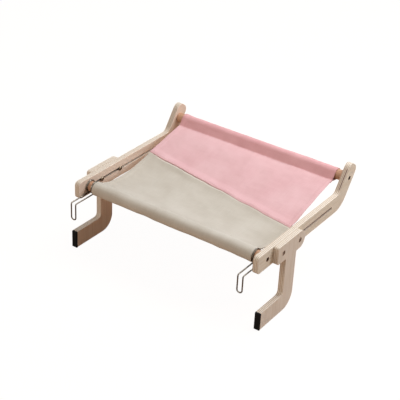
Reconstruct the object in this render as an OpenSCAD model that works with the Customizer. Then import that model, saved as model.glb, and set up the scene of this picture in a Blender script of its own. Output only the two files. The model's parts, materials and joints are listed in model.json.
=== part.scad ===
// A canvas cat perch that hangs from a window sill or a bed board.
// Two plywood rails with upturned ends carry two dowels, and a canvas sling hangs between the dowels.
// A plywood leg slides along each rail, and a wire hook swings at each end of the front dowel.
// X runs along the dowels, the sill is towards -Y, and Z is up.

/* [Frame] */
// Overall width, over the legs' outer faces
overall_w = 470; // [420:5:560]
// Thickness of the plywood
board_t = 12; // [10:0.5:15]
// Height of a board: the rails, the leg plates and the feet
board_h = 38; // [34:1:46]
// Height of the rails' top edge above the foot pads' underside
perch_h = 162; // [140:2:200]

/* [Side rails] */
// Length of the straight stretch, along its top edge
rail_len = 302; // [290:2:360]
// Angle of the upturned end above the straight stretch
upturn_angle = 55; // [40:1:60]
// Width of the upturned end
upturn_w = 35.5; // [32:0.5:40]
// Length of the upturned end, along its front edge
upturn_len = 72.5; // [68:0.5:95]
// Corner radius at the rail's front end
nose_r = 9; // [3:0.5:14]
// Corner radius of the upturned end
tip_r = 14; // [4:0.5:16]
// Radius of the bend on its lower side
knee_r = 50; // [20:1:60]
// Radius of the bend on its upper side
throat_r = 14; // [6:1:24]
// Front end of the adjusting slot, behind the rail's front end
slot_start = 51; // [46:1:60]
// Length of the adjusting slot, end to end
slot_len = 226; // [190:2:230]

/* [Dowels] */
// Radius of the dowels
dowel_r = 11; // [9:0.5:13]
// Front dowel's axis, behind the rail's front end
front_dowel_y = 34; // [28:1:36]
// Rear dowel's axis, along the upturned end from the bend
rear_dowel_along = 41.5; // [38:0.5:52]
// Rear dowel's axis, across the upturned end from its front edge
rear_dowel_across = 19; // [16:0.5:20]

/* [Legs] */
// Front end of the leg plate, behind the rail's front end
plate_start = 52; // [46:1:70]
// Length of the leg plate
plate_len = 99; // [94:1:120]
// Distance between the two bolts of a leg
bolt_pitch = 60; // [52:1:66]
// Corner radius at the leg plate's front end
plate_r = 5; // [2:0.5:9]
// Front of the upright, behind the leg plate's front end
upright_start = 31; // [28:1:36]
// Width of the upright
upright_w = 38; // [32:1:42]
// Outer radius of the bend between upright and foot
heel_r = 32; // [20:1:36]
// Inner radius of the bend between upright and foot
instep_r = 9; // [4:0.5:14]

/* [Foot pads] */
// Face of the foot pads, behind the rail's front end
pad_y = 3; // [0:0.5:12]
// Thickness of the rubber
pad_t = 4; // [2:0.5:6]
// How far the rubber reaches below the foot
pad_lip = 1; // [0.5:0.25:2]
// Corner radius at the rubber's lower front edge
pad_r = 1.8; // [0.5:0.1:2]

/* [Fasteners] */
// Radius of the bolts' shanks
bolt_r = 2.5; // [2:0.25:3]
// Clearance on each side of a leg bolt in its slot
slot_play = 0.25; // [0.1:0.05:0.5]
// Radius of the leg bolts' button heads
button_r = 5; // [4.5:0.25:6]
// Height of the leg bolts' button heads
button_h = 2.6; // [2:0.2:3.4]
// Radius of the sleeve nuts' barrels
sleeve_nut_r = 3.5; // [3.3:0.1:4]
// Length of the sleeve nuts' barrels
sleeve_nut_len = 7.5; // [5:0.5:8]
// Radius of the sleeve nuts' heads
sleeve_head_r = 4.6; // [4.3:0.1:5]
// Thickness of the sleeve nuts' heads
sleeve_head_t = 2; // [1.6:0.1:2.4]
// Depth of the sleeve nuts' counterbore
sleeve_sink = 3.2; // [2.6:0.1:4]
// Radius of the dowel bolts' heads
cap_r = 4.25; // [3.75:0.25:5]
// Height of the dowel bolts' heads
cap_h = 5; // [3.5:0.25:5.5]
// Depth of the dowel bolts' counterbore
cap_sink = 7; // [6:0.25:8]
// How far the dowel bolts reach into the dowels
dowel_bolt_reach = 19; // [16:1:26]
// Radius of the threaded inserts in the dowels' ends
insert_r = 4; // [3.5:0.1:5]
// Length of the threaded inserts
insert_len = 15; // [12:1:18]

/* [Wire hooks] */
// Radius of the hooks' wire
wire_r = 1.4; // [0.9:0.05:1.6]
// Distance between the two wires of a hook, centre to centre
wire_pitch = 11.4; // [9:0.2:14]
// How far a hook's wire reaches ahead of the rail's front end
hook_reach = 28; // [20:0.5:34]
// Depth of a hook's drop, from its arm's centre to the wire's underside
hook_drop = 39; // [28:1:50]
// Bend radius between arm and drop, at the wire's centre
hook_bend_r = 3; // [2:0.25:6]
// How far round the dowel each ring runs
ring_sweep = 312; // [270:1:330]

/* [Sling] */
// Distance from each end of the canvas sleeves to the hook's inner wire
sleeve_end_gap = 1; // [0.5:0.25:20]
// Thickness of the canvas
cloth_t = 1.2; // [0.8:0.1:1.6]
// Radius of the front sleeve, at the middle of the cloth
front_sleeve_r = 14.2; // [13.6:0.1:16]
// Distance from the front dowel's axis back to its stitch line
front_lap = 20; // [18:1:26]
// How far the front stitch line lies above the front dowel's axis
front_lap_rise = 2; // [0:0.5:8]
// Distance from the rear dowel's axis forward to its stitch line
rear_lap = 19.5; // [18:0.5:28]
// How far the rear stitch line lies below the rear dowel's axis
rear_lap_drop = 7; // [2:0.5:12]
// Width of each sleeve's hem beyond its stitch line
hem_w = 8; // [4:0.5:12]
// Sag at the sling's side edges
edge_sag = 15.5; // [2:0.5:18]
// Sag along the sling's middle
middle_sag = 18; // [4:0.5:24]
// Left end of the diagonal seam, behind the rail's front end
seam_left = 215; // [120:1:260]
// Right end of the diagonal seam, behind the rail's front end
seam_right = 156; // [100:1:260]
// How far the rear panel lies over the front one
seam_lap = 10; // [6:1:18]

/* [Hidden] */
$fn = 48;

// Segments in each rounded corner of a board
arc_steps = 12;
// Extra length of every cut past the face it opens
overrun = 1;
// Clearance between a leg and its rail, and under the leg bolts' heads
slide_gap = 0.1;
// Radial clearance of a bolt in its nut and of a nut or insert in its hole
thread_gap = 0.05;
// Radial clearance of a dowel bolt in the rail
bolt_hole_gap = 0.25;
// Radial clearance of a head in its counterbore
head_gap = 0.35;
// Radial clearance of a hook's ring on the dowel
ring_gap = 0.25;
// Clearance between a hook's outer wire and the rail
hook_side_gap = 0.6;
// Clearance between the cloth and a dowel, and between two layers of cloth
cloth_gap = 0.3;
// Corner radius where the upright meets the leg plate
armpit_r = 2.5;
// Corner radius at the rubber's upper front edge
pad_top_r = 1.2;
// Hexagon sockets of the leg bolts and sleeve nuts
socket_r = 1.9;
socket_depth = 1.2;
// Hexagon sockets of the dowel bolts
cap_socket_r = 2.3;
cap_socket_depth = 2.4;
// Chamfer round the button heads
button_chamfer = 1.2;

// Places across the width
leg_inner_x = overall_w / 2 - board_t;
leg_outer_x = overall_w / 2;
rail_outer_x = leg_inner_x - slide_gap;
rail_inner_x = rail_outer_x - board_t;
// Heights
rail_low_z = perch_h - board_h;
bolt_z = perch_h - board_h / 2;
foot_top_z = pad_lip + board_h;
// Direction along the upturned end, and across it towards the rear
along = [cos(upturn_angle), sin(upturn_angle)];
across = [sin(upturn_angle), -cos(upturn_angle)];
bend = [rail_len, perch_h];
// Axes of the dowels
front_axis = [front_dowel_y, bolt_z];
rear_axis = bend + along * rear_dowel_along + across * rear_dowel_across;
// Bolts of a leg: the rear one is the centre of the plate's round end
rear_bolt_y = plate_start + plate_len - board_h / 2;
front_bolt_y = rear_bolt_y - bolt_pitch;
upright_y = plate_start + upright_start;
// Middle of the part's extent from front to rear, which is the origin
tip_limit = (bend + along * (upturn_len - tip_r) + across * (upturn_w - tip_r))[0] + tip_r;
centre_y = (tip_limit - hook_reach) / 2;
// Wire hooks
ring_r = dowel_r + ring_gap + wire_r;
outer_wire_x = rail_inner_x - hook_side_gap - wire_r;
inner_wire_x = outer_wire_x - wire_pitch;
arm_z = front_axis[1] - ring_r;
loop_r = wire_pitch / 2;
wire_sides = 24;
// Width of the sling's sleeves, between the hooks
sling_w = 2 * (inner_wire_x - wire_r - sleeve_end_gap);
// Sling: rows along each stretch of a panel, and columns across it
sleeve_rows = 14;
sheet_rows = 12;
sling_columns = 12;
// How much fuller the sag is towards the front
sag_lean_share = 0.9;
// Distance over which the rear panel settles behind the seam, as a share of the lap
settle_share = 1.2;

// Puts a shape drawn behind the rail's front end into the part's frame
module placed() {
    translate([0, -centre_y, 0])
        children();
}

// Draws on the right, or mirrored on the left
module on_side(left) {
    if (left) {
        mirror([1, 0, 0])
            children();
    } else {
        children();
    }
}

// Extrudes an outline of [y, z] points along X
module board(x, thickness, outline) {
    translate([x, 0, 0])
        rotate([90, 0, 90])
            linear_extrude(thickness)
                polygon(outline);
}

// A round rod along X, centred on a [y, z] axis
module rod(x, axis, r, length) {
    translate([x, axis[0], axis[1]])
        rotate([0, 90, 0])
            cylinder(r = r, h = length);
}

// A hexagonal rod along X
module hex_rod(x, axis, r, length) {
    translate([x, axis[0], axis[1]])
        rotate([0, 90, 0])
            cylinder(r = r, h = length, $fn = 6);
}

function unit(v) = v / norm(v);
function on_circle(centre, r, a) = centre + r * [cos(a), sin(a)];

// One corner of an outline, rounded to radius r
function corner(before, at, after, r) =
    let (u = unit(before - at), v = unit(after - at), half = acos(u * v) / 2)
    let (centre = at + unit(u + v) * r / sin(half))
    let (s = at + u * r / tan(half) - centre, e = at + v * r / tan(half) - centre)
    let (first = atan2(s[1], s[0]), turn = atan2(cross(s, e), s * e))
    [for (k = [0 : arc_steps]) on_circle(centre, r, first + turn * k / arc_steps)];

// A closed outline with every corner rounded to its own radius
function rounded(points, radii) =
    let (n = len(points))
    [for (i = [0 : n - 1])
        let (before = points[(i + n - 1) % n], after = points[(i + 1) % n])
        each radii[i] == 0 ? [points[i]] : corner(before, points[i], after, radii[i])];

function rectangle(low, high) = [low, [high[0], low[1]], high, [low[0], high[1]]];

// Where the rail's rear edge meets its lower edge
rear_edge = bend + across * upturn_w;
knee = rear_edge + along * (rail_low_z - rear_edge[1]) / along[1];
rail_outline = rounded(
    [[0, rail_low_z], knee, rear_edge + along * upturn_len, bend + along * upturn_len, bend, [0, perch_h]],
    [nose_r, knee_r, tip_r, tip_r, throat_r, nose_r]
);

// The adjusting slot, cut right through a rail
module slot() {
    slot_r = bolt_r + slot_play;
    first = slot_start + slot_r;
    last = slot_start + slot_len - slot_r;
    straight = rectangle([first, bolt_z - slot_r], [last, bolt_z + slot_r]);
    for (y = [first, last])
        rod(rail_inner_x - overrun, [y, bolt_z], slot_r, board_t + 2 * overrun);
    board(rail_inner_x - overrun, board_t + 2 * overrun, straight);
}

// Plywood rail: slotted for the leg bolts, counterbored for the dowel bolts
module side_rail(left) {
    color("#C7B198") placed() on_side(left) difference() {
        board(rail_inner_x, board_t, rail_outline);
        slot();
        for (axis = [front_axis, rear_axis]) {
            rod(rail_inner_x - overrun, axis, bolt_r + bolt_hole_gap, board_t + 2 * overrun);
            rod(rail_outer_x - cap_sink, axis, cap_r + head_gap, cap_sink + overrun);
        }
    }
}

// Dowel between the rails, bored at both ends for its threaded inserts
module dowel(axis) {
    bore_depth = max(insert_len, dowel_bolt_reach) + overrun;
    color("#C0946A") placed() difference() {
        rod(-rail_inner_x, axis, dowel_r, 2 * rail_inner_x);
        for (x = [-rail_inner_x - overrun, rail_inner_x - bore_depth])
            rod(x, axis, insert_r + thread_gap, bore_depth + overrun);
    }
}

// Threaded insert, flush with the dowel's end
module insert(left, axis) {
    color("#B9B2A0") placed() on_side(left) difference() {
        rod(rail_inner_x - insert_len, axis, insert_r, insert_len);
        rod(rail_inner_x - insert_len - overrun, axis, bolt_r + thread_gap, insert_len + 2 * overrun);
    }
}

// Socket bolt sunk in the rail's outer face
module dowel_bolt(left, axis) {
    seat_x = rail_outer_x - cap_sink;
    tip_x = rail_inner_x - dowel_bolt_reach;
    color("#5A5A5C") placed() on_side(left) difference() {
        union() {
            rod(seat_x, axis, cap_r, cap_h);
            rod(tip_x, axis, bolt_r, seat_x - tip_x + cap_h / 2);
        }
        hex_rod(seat_x + cap_h - cap_socket_depth, axis, cap_socket_r, cap_socket_depth + overrun);
    }
}

leg_outline = rounded([
    [plate_start, perch_h], [rear_bolt_y, perch_h], [rear_bolt_y, rail_low_z],
    [upright_y + upright_w, rail_low_z], [upright_y + upright_w, pad_lip],
    [pad_y + pad_t, pad_lip], [pad_y + pad_t, foot_top_z],
    [upright_y, foot_top_z], [upright_y, rail_low_z], [plate_start, rail_low_z]
], [plate_r, 0, 0, armpit_r, heel_r, 0, 0, instep_r, armpit_r, plate_r]);

// Leg cut from one board: plate with a round rear end, upright and foot
module leg(left) {
    color("#BFA98F") placed() on_side(left) difference() {
        union() {
            board(leg_inner_x, board_t, leg_outline);
            rod(leg_inner_x, [rear_bolt_y, bolt_z], board_h / 2, board_t);
        }
        for (y = [front_bolt_y, rear_bolt_y]) {
            rod(leg_inner_x - overrun, [y, bolt_z], sleeve_nut_r + thread_gap, board_t + 2 * overrun);
            rod(leg_outer_x - sleeve_sink, [y, bolt_z], sleeve_head_r + head_gap, sleeve_sink + overrun);
        }
    }
}

// Rubber glued to the front of the foot
module foot_pad(left) {
    outline = rounded(rectangle([pad_y, 0], [pad_y + pad_t, foot_top_z]), [pad_r, 0, 0, pad_top_r]);
    color("#1B1B1A") placed() on_side(left)
        board(leg_inner_x, board_t, outline);
}

// Button-head bolt from the rail's inner face into the sleeve nut
module leg_bolt(left, y) {
    under_head = rail_inner_x - slide_gap;
    tip_x = leg_outer_x - sleeve_sink - thread_gap;
    color("#77767A") placed() on_side(left) difference() {
        union() {
            rod(under_head, [y, bolt_z], bolt_r, tip_x - under_head);
            translate([under_head, y, bolt_z])
                rotate([0, -90, 0])
                    rotate_extrude()
                        polygon([
                            [0, 0], [button_r, 0], [button_r, button_h - button_chamfer],
                            [button_r - button_chamfer, button_h], [0, button_h]
                        ]);
        }
        hex_rod(under_head - button_h - overrun, [y, bolt_z], socket_r, socket_depth + overrun);
    }
}

// Sleeve nut sunk in the leg's outer face
module sleeve_nut(left, y) {
    seat_x = leg_outer_x - sleeve_sink;
    color("#8C8B8E") placed() on_side(left) difference() {
        union() {
            rod(seat_x - sleeve_nut_len, [y, bolt_z], sleeve_nut_r, sleeve_nut_len + sleeve_head_t / 2);
            rod(seat_x, [y, bolt_z], sleeve_head_r, sleeve_head_t);
        }
        rod(seat_x - sleeve_nut_len - overrun, [y, bolt_z], bolt_r + thread_gap, sleeve_nut_len + overrun);
        hex_rod(seat_x + sleeve_head_t - socket_depth, [y, bolt_z], socket_r, socket_depth + overrun);
    }
}

// Wire bent round a [y, z] centre, from one angle on through a turn
module wire_arc(x, centre, r, from, turn) {
    translate([x, centre[0], centre[1]])
        rotate([90, 0, 90])
            rotate([0, 0, from])
                rotate_extrude(angle = turn)
                    translate([r, 0])
                        circle(wire_r, $fn = wire_sides);
}

// Straight wire between two [y, z] points
module wire(x, a, b) {
    v = b - a;
    translate([x, a[0], a[1]])
        rotate([atan2(-v[0], v[1]), 0, 0])
            cylinder(r = wire_r, h = norm(v), $fn = wire_sides);
}

// Bent wire: two open rings on the dowel, two arms and a closed drop square to them
module wire_hook(left) {
    drop_y = wire_r - hook_reach;
    bend_at = [drop_y + hook_bend_r, arm_z - hook_bend_r];
    loop_at = [drop_y, arm_z - hook_drop + wire_r + loop_r];
    color("#8E8C86") placed() on_side(left) {
        for (x = [inner_wire_x, outer_wire_x]) {
            wire_arc(x, front_axis, ring_r, -90, ring_sweep);
            wire(x, [front_axis[0], arm_z], [bend_at[0], arm_z]);
            wire_arc(x, bend_at, hook_bend_r, 90, 90);
            wire(x, [drop_y, bend_at[1]], loop_at);
        }
        translate([inner_wire_x + loop_r, loop_at[0], loop_at[1]])
            rotate([-90, 0, 0])
                rotate_extrude(angle = 180)
                    translate([loop_r, 0])
                        circle(wire_r, $fn = wire_sides);
    }
}

// Stitch lines of the two sleeves, with the open sheet between them
sheet_front = front_axis + [front_lap, front_lap_rise];
sheet_rear = rear_axis - [rear_lap, rear_lap_drop];
// Radius of the rear sleeve, and centre of the front one, which rests on the top of its dowel
cloth_lift = dowel_r + cloth_gap + cloth_t / 2;
front_sleeve_at = front_axis + [0, cloth_lift - front_sleeve_r];
hem_drop = cloth_t + cloth_gap;

function sheet_share(y) = max(0, min(1, (y - sheet_front[0]) / (sheet_rear[0] - sheet_front[0])));
function fullness(y) = let (s = sheet_share(y)) 4 * s * (1 - s) * (1 + sag_lean_share * (1 - 2 * s));
function sag_at(x) = middle_sag + (edge_sag - middle_sag) * pow(2 * x / sling_w, 2);
function sheet_z(x, y) =
    sheet_front[1] + (sheet_rear[1] - sheet_front[1]) * sheet_share(y) - sag_at(x) * fullness(y);
function seam_y(x) = seam_left + (seam_right - seam_left) * (x / sling_w + 1 / 2);

// A row of the open sheet, raised by a lift
function sheet_row(x, y, lift = 0) = [y, sheet_z(x, y) + lift];

// Direction, seen from a circle's centre, of the point where a line through p touches it
function touch(centre, r, p, side) =
    let (v = p - centre) atan2(v[1], v[0]) + side * acos(r / norm(v));

// Arc round a dowel, from one angle to another
function sleeve(centre, r, start, end) =
    [for (k = [0 : sleeve_rows]) on_circle(centre, r, start + (end - start) * k / sleeve_rows)];

// Middle of the front panel at one column: hem, round the front dowel, back to the seam
function front_path(x) =
    let (stitch = sheet_front - [0, hem_drop], end_y = seam_y(x) + seam_lap)
    let (start = touch(front_sleeve_at, front_sleeve_r, stitch, -1) + 360)
    let (end = touch(front_sleeve_at, front_sleeve_r, sheet_front, 1))
    [
        sheet_row(x, sheet_front[0] + hem_w, -hem_drop),
        stitch,
        each sleeve(front_sleeve_at, front_sleeve_r, start, end),
        for (k = [0 : sheet_rows]) sheet_row(x, sheet_front[0] + (end_y - sheet_front[0]) * k / sheet_rows)
    ];

// Middle of the rear panel at one column: seam, back to the rear dowel and round it to its hem
function rear_path(x) =
    let (seam = seam_y(x), lap_end = seam + seam_lap, settled = lap_end + seam_lap * settle_share)
    let (stitch = sheet_rear - [0, hem_drop])
    let (start = touch(rear_axis, cloth_lift, sheet_rear, -1) + 360)
    let (end = touch(rear_axis, cloth_lift, stitch, 1))
    [
        sheet_row(x, seam, hem_drop),
        sheet_row(x, lap_end, hem_drop),
        for (k = [0 : sheet_rows]) sheet_row(x, settled + (sheet_rear[0] - settled) * k / sheet_rows),
        each sleeve(rear_axis, cloth_lift, start, end),
        stitch,
        sheet_row(x, sheet_rear[0] - hem_w, -hem_drop)
    ];

// One face of the cloth at one column, half a thickness off its middle
function cloth_face(x, path, side) =
    let (n = len(path))
    [for (k = [0 : n - 1])
        let (v = unit(path[min(k + 1, n - 1)] - path[max(k - 1, 0)]))
        let (p = path[k] + side * cloth_t / 2 * [-v[1], v[0]])
        [x, p[0], p[1]]];

// Closes two faces of cloth, given as columns of points, into a solid
module cloth(upper, lower) {
    n = len(upper);
    m = len(upper[0]);
    function at(side, i, j) = (side * n + i) * m + j;
    function pair(a, b, c, d) = [[a, b, c], [a, c, d]];
    faces = [
        for (i = [0 : n - 2], j = [0 : m - 2]) each concat(
            pair(at(0, i, j), at(0, i, j + 1), at(0, i + 1, j + 1), at(0, i + 1, j)),
            pair(at(1, i, j), at(1, i + 1, j), at(1, i + 1, j + 1), at(1, i, j + 1))
        ),
        for (i = [0 : n - 2]) each concat(
            pair(at(0, i, 0), at(0, i + 1, 0), at(1, i + 1, 0), at(1, i, 0)),
            pair(at(0, i, m - 1), at(1, i, m - 1), at(1, i + 1, m - 1), at(0, i + 1, m - 1))
        ),
        for (j = [0 : m - 2]) each concat(
            pair(at(0, 0, j), at(1, 0, j), at(1, 0, j + 1), at(0, 0, j + 1)),
            pair(at(0, n - 1, j), at(0, n - 1, j + 1), at(1, n - 1, j + 1), at(1, n - 1, j))
        )
    ];
    polyhedron(points = [for (side = [upper, lower], column = side) each column], faces = faces);
}

columns = [for (k = [0 : sling_columns]) sling_w * (k / sling_columns - 1 / 2)];

// Beige panel, with the sleeve round the front dowel
module front_canvas_panel() {
    color("#D3CBBE") placed()
        cloth(
            [for (x = columns) cloth_face(x, front_path(x), 1)],
            [for (x = columns) cloth_face(x, front_path(x), -1)]
        );
}

// Pink panel, laid over the beige one at the seam, with the sleeve round the rear dowel
module rear_canvas_panel() {
    color("#E8B8BA") placed()
        cloth(
            [for (x = columns) cloth_face(x, rear_path(x), 1)],
            [for (x = columns) cloth_face(x, rear_path(x), -1)]
        );
}

side_rail(true);  // left_side_rail
side_rail(false);  // right_side_rail
dowel(front_axis);  // front_dowel
dowel(rear_axis);  // rear_dowel
insert(true, front_axis);  // front_left_insert
insert(false, front_axis);  // front_right_insert
insert(true, rear_axis);  // rear_left_insert
insert(false, rear_axis);  // rear_right_insert
dowel_bolt(true, front_axis);  // front_left_dowel_bolt
dowel_bolt(false, front_axis);  // front_right_dowel_bolt
dowel_bolt(true, rear_axis);  // rear_left_dowel_bolt
dowel_bolt(false, rear_axis);  // rear_right_dowel_bolt
front_canvas_panel();
rear_canvas_panel();
leg(true);  // left_leg
leg(false);  // right_leg
foot_pad(true);  // left_foot_pad
foot_pad(false);  // right_foot_pad
leg_bolt(true, front_bolt_y);  // left_leg_front_bolt
leg_bolt(true, rear_bolt_y);  // left_leg_rear_bolt
leg_bolt(false, front_bolt_y);  // right_leg_front_bolt
leg_bolt(false, rear_bolt_y);  // right_leg_rear_bolt
sleeve_nut(true, front_bolt_y);  // left_leg_front_sleeve_nut
sleeve_nut(true, rear_bolt_y);  // left_leg_rear_sleeve_nut
sleeve_nut(false, front_bolt_y);  // right_leg_front_sleeve_nut
sleeve_nut(false, rear_bolt_y);  // right_leg_rear_sleeve_nut
wire_hook(true);  // left_wire_hook
wire_hook(false);  // right_wire_hook
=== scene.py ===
# %% [markdown]
# # A cat perch of plywood, dowels and canvas
# The perch hangs from a window sill or a bed board. Two plywood rails with upturned ends carry two beech
# dowels, and a canvas sling in two colours hangs between the dowels. Its rigid pieces come from the packed
# model, which is in metres, with X along the dowels, the sill towards -Y and Z up. Blender gives them their
# finishes and soft arrises, and the plain canvas of the model makes way for sewn cloth.

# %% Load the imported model
import json
import math

import bmesh
import bpy
from mathutils import Matrix, Vector, noise

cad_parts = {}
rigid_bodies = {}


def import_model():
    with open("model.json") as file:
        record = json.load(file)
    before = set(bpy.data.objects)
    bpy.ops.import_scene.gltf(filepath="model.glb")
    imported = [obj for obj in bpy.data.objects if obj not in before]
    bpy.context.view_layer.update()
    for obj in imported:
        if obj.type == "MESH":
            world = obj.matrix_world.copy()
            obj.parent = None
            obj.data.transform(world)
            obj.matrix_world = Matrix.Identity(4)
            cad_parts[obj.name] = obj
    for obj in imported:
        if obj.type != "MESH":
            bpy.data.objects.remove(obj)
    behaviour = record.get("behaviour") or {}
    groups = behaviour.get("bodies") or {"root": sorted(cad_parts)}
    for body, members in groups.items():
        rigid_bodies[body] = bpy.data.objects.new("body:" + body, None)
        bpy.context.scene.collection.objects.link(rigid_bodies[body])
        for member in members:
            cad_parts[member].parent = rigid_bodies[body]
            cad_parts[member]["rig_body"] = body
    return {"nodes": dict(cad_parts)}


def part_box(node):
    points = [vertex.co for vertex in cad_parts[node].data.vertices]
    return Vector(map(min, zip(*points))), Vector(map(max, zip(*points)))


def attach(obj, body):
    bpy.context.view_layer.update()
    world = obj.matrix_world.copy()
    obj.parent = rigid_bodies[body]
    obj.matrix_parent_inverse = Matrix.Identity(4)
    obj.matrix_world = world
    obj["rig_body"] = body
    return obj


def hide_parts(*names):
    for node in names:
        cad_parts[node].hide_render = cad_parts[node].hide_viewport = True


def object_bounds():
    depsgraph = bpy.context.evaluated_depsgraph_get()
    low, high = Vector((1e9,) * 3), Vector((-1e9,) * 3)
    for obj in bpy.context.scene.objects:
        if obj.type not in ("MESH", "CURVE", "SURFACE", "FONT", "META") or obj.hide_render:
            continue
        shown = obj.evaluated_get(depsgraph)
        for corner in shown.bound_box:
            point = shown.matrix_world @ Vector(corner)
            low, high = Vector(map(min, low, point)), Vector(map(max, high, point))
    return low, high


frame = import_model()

MM = 0.001
cad_box = [list(corner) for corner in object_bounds()]
print("size, mm:", [round((high - low) / MM, 1) for low, high in zip(*cad_box)])

# %% [markdown]
# ## Where things are
# Every place is worked out from the model's own pieces, so the finishes and the cloth stay fitted to it.
# Places along the rails are measured from their front end, as a joiner would.

# %% Places taken from the model
def side_view(node):
    """Centre of a node seen from the side, as (y, z)."""
    low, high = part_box(node)
    return Vector(((low.y + high.y) / 2, (low.z + high.z) / 2))


rail_low, rail_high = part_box("right_side_rail")
leg_inner_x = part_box("right_leg")[0].x
front_axis, rear_axis = side_view("front_dowel"), side_view("rear_dowel")
dowel_low, dowel_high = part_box("front_dowel")
dowel_r = (dowel_high.z - dowel_low.z) / 2
board_t = rail_high.x - rail_low.x
print("dowels' axes, mm:", [[round(v / MM, 1) for v in axis] for axis in (front_axis, rear_axis)])

# %% [markdown]
# ## Camera
# The photograph was taken from the front right, some 30 degrees above the perch, with a long lens. The
# camera was solved from outline points of the photograph against the model, so it is set from those numbers.
# A 36 mm sensor makes the lens follow from the focal length in pixels.

# %% Camera at the photograph's place
PHOTO_PX = 400
FOCAL_PX = 1079.942
SENSOR_MM = 36
TARGET = Vector((0, 10.417, 110)) * MM
DISTANCE = 2245.222 * MM
SHIFT_RIGHT, SHIFT_UP = 28.161 * MM, -10.317 * MM
azimuth, elevation, roll = (math.radians(angle) for angle in (33.979, 30.37, 2.942))


def new_object(name, data):
    """An object with the given data, linked into the scene."""
    made = bpy.data.objects.new(name, data)
    bpy.context.scene.collection.objects.link(made)
    return made


back = Vector((
    math.sin(azimuth) * math.cos(elevation),
    -math.cos(azimuth) * math.cos(elevation),
    math.sin(elevation),
))
level_right = Vector((math.cos(azimuth), math.sin(azimuth), 0))
level_up = back.cross(level_right)
camera_right = math.cos(roll) * level_right + math.sin(roll) * level_up
camera_up = -math.sin(roll) * level_right + math.cos(roll) * level_up

camera_data = bpy.data.cameras.new("photo camera")
camera_data.sensor_width = SENSOR_MM
camera_data.lens = FOCAL_PX / PHOTO_PX * SENSOR_MM
camera = new_object("photo camera", camera_data)
camera.matrix_world = Matrix.Translation(
    TARGET - SHIFT_RIGHT * camera_right - SHIFT_UP * camera_up + DISTANCE * back
) @ Matrix((camera_right, camera_up, back)).transposed().to_4x4()
bpy.context.scene.camera = camera
bpy.context.scene.view_settings.view_transform = "Standard"
print("lens, mm:", round(camera_data.lens, 2))

# %% [markdown]
# ## Colours and nodes
# Colours are written as a picture shows them, as sRGB hex values, and one function turns them into the
# linear values that the renderer works with. Another one fills a node's inputs, and a small one adds a node
# with its settings and links, so that each material reads as a short list.

# %% Helpers for materials
SOFT_STEP = {"interpolation_type": "SMOOTHSTEP"}    # a map range that eases in and out
TWO_COLOURS = {"data_type": "RGBA"}                 # a mix of two colours
# Sockets of a mix by number: its share, its two values or two colours, and the mixed colour
SHARE, VALUE_A, VALUE_B, UNDER, OVER, MIXED = 0, 2, 3, 6, 7, 2


def linear(hex_colour):
    """An sRGB hex colour as linear red, green, blue and alpha."""
    channels = [int(hex_colour[k:k + 2], 16) / 255 for k in (1, 3, 5)]
    return [c / 12.92 if c <= 0.04045 else ((c + 0.055) / 1.055) ** 2.4 for c in channels] + [1]


def plug(node, inputs):
    """Fills inputs with plain values or links. A node given as an input stands for its first output."""
    for name, value in dict(inputs).items():
        if isinstance(value, bpy.types.Node):
            value = value.outputs[0]
        if isinstance(value, bpy.types.NodeSocket):
            node.id_data.links.new(value, node.inputs[name])
        else:
            node.inputs[name].default_value = value


def add(tree, kind, settings=(), inputs=(), stops=()):
    """Adds a node: settings are its own properties, inputs go to plug, and stops fill a colour ramp."""
    node = tree.nodes.new("ShaderNode" + kind)
    for name, value in dict(settings).items():
        setattr(node, name, value)
    plug(node, inputs)
    for k, (place, colour) in enumerate(stops):
        element = node.color_ramp.elements[k] if k < 2 else node.color_ramp.elements.new(place)
        element.position = place
        element.color = linear(colour)
    return node


def new_material(name, surface):
    """A material with one Principled surface, set as given: the material, its node tree and that surface."""
    material = bpy.data.materials.new(name)
    material.use_nodes = True
    shader = material.node_tree.nodes["Principled BSDF"]
    plug(shader, surface)
    return material, material.node_tree, shader


print("mid grey, linear:", round(linear("#808080")[0], 3))

# %% [markdown]
# ## Floor and backdrop
# The photograph is a studio picture on white. A floor carries the perch and keeps its shadow: its paint is
# warm, and so is the light that it throws up, but to the camera it glows almost white. The world is white to
# the camera and to anything that mirrors it, so no extra light has to fall on the perch.

# %% Floor and white backdrop
FLOOR_SIZE = 12
FLOOR_GLOW, GLOW_SHARE = 1.2, 0.8    # strength of the glow, and how much of the floor it hides


def studio_floor():
    """A warm floor that is nearly white to the camera where nothing shades it."""
    material, tree, shader = new_material("studio floor, pale matt paint", {
        "Base Color": linear("#B3937A"), "Roughness": 0.9})
    glow = add(tree, "Emission", inputs={"Color": linear("#FFFFFF"), "Strength": FLOOR_GLOW})
    seen = add(tree, "Math", {"operation": "MULTIPLY"}, {
        0: add(tree, "LightPath").outputs["Is Camera Ray"], 1: GLOW_SHARE})
    mix = add(tree, "MixShader", inputs={0: seen, 1: shader, 2: glow})
    plug(tree.nodes["Material Output"], {"Surface": mix})
    half = FLOOR_SIZE / 2
    corners = [(-half, -half, 0), (half, -half, 0), (half, half, 0), (-half, half, 0)]
    mesh = bpy.data.meshes.new("floor")
    mesh.from_pydata(corners, [], [(0, 1, 2, 3)])
    mesh.materials.append(material)
    made = new_object("floor", mesh)
    return made


def white_world(ambient):
    """A world that is white to the camera, mirrors and glass, and lights the rest softly."""
    world = bpy.data.worlds.new("white studio")
    world.use_nodes = True
    bpy.context.scene.world = world
    tree = world.node_tree
    path = add(tree, "LightPath")
    seen = path.outputs["Is Camera Ray"]
    for ray in ("Is Glossy Ray", "Is Transmission Ray"):
        seen = add(tree, "Math", {"operation": "MAXIMUM"}, {0: seen, 1: path.outputs[ray]})
    level = add(tree, "MapRange", inputs={"Value": seen, "To Min": ambient, "To Max": 1})
    plug(tree.nodes["Background"], {"Color": linear("#FFFFFF"), "Strength": level})


floor = studio_floor()
floor.location.z = cad_box[0][2]
white_world(ambient=0.23)
print("floor's height, mm:", round(floor.location.z / MM, 2))

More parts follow.
